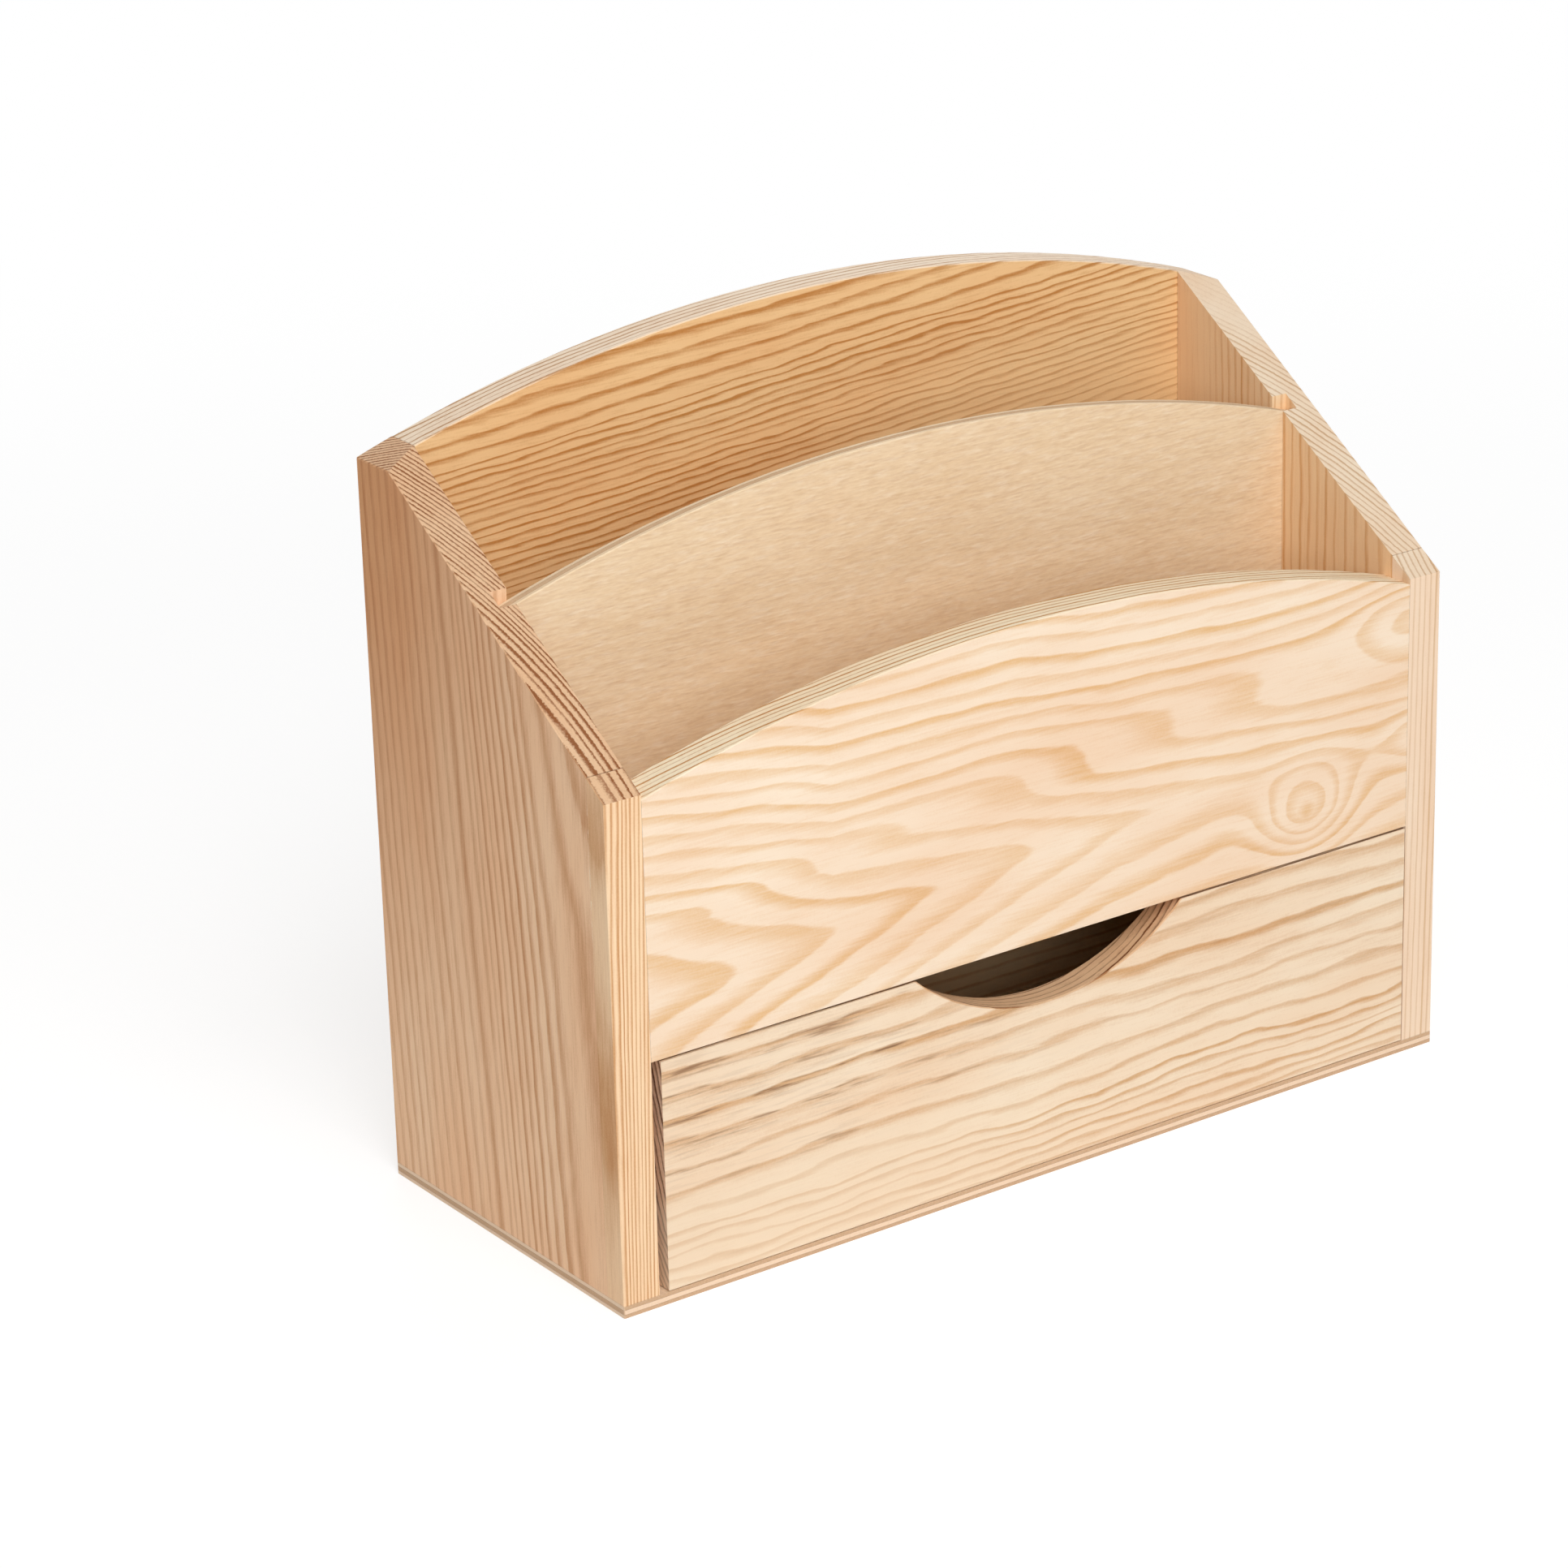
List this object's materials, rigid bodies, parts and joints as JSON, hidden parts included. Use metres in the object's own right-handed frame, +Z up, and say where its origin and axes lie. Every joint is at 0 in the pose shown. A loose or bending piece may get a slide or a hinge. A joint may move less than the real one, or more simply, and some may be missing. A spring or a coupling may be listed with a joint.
{
  "type": "envelope sorter with drawer",
  "caption": "Pine desk sorter with arched panels, open letter compartments and a shallow drawer with a half-moon finger notch.",
  "frame": {"origin": "centre of the bottom face, in the plane that the sorter stands on", "axes": "+X to the right across the front, along the longest side; +Y from the front to the back, along the shortest side; +Z up"},
  "size_m": [0.25, 0.1, 0.205],
  "materials": {
    "side_pine": "raw sanded pine, upright grain",
    "strip_pine": "raw sanded pine, upright grain",
    "back_pine": "raw sanded pine, level grain",
    "front_pine": "raw sanded pine, wavy flat-sawn grain",
    "drawer_pine": "raw sanded pine, level grain",
    "drawer_wall_pine": "raw sanded pine",
    "birch_plywood": "raw sanded birch plywood",
    "base_plywood": "raw thin plywood",
    "beech": "turned beech",
    "pin_steel": "plain bright steel"
  },
  "bodies": {
    "case": {"base_plate": "base_plywood", "left_side": "side_pine", "left_front_strip": "strip_pine", "right_side": "side_pine", "right_front_strip": "strip_pine", "back_panel": "back_pine", "front_panel": "front_pine", "divider": "birch_plywood", "compartment_floor": "birch_plywood", "back_panel_dowels": "beech", "front_panel_dowels": "beech", "base_pins": "pin_steel"},
    "drawer": {"drawer_front": "drawer_pine", "drawer_left_side": "drawer_wall_pine", "drawer_right_side": "drawer_wall_pine", "drawer_back": "drawer_wall_pine", "drawer_bottom": "birch_plywood", "drawer_front_dowels": "beech", "drawer_back_pins": "pin_steel", "drawer_bottom_pins": "pin_steel"}
  },
  "joints": [
    {"name": "drawer_slide", "type": "slide", "parent": "case", "child": "drawer", "axis": [0, -1, 0], "range_m": [0, 0.075]}
  ]
}
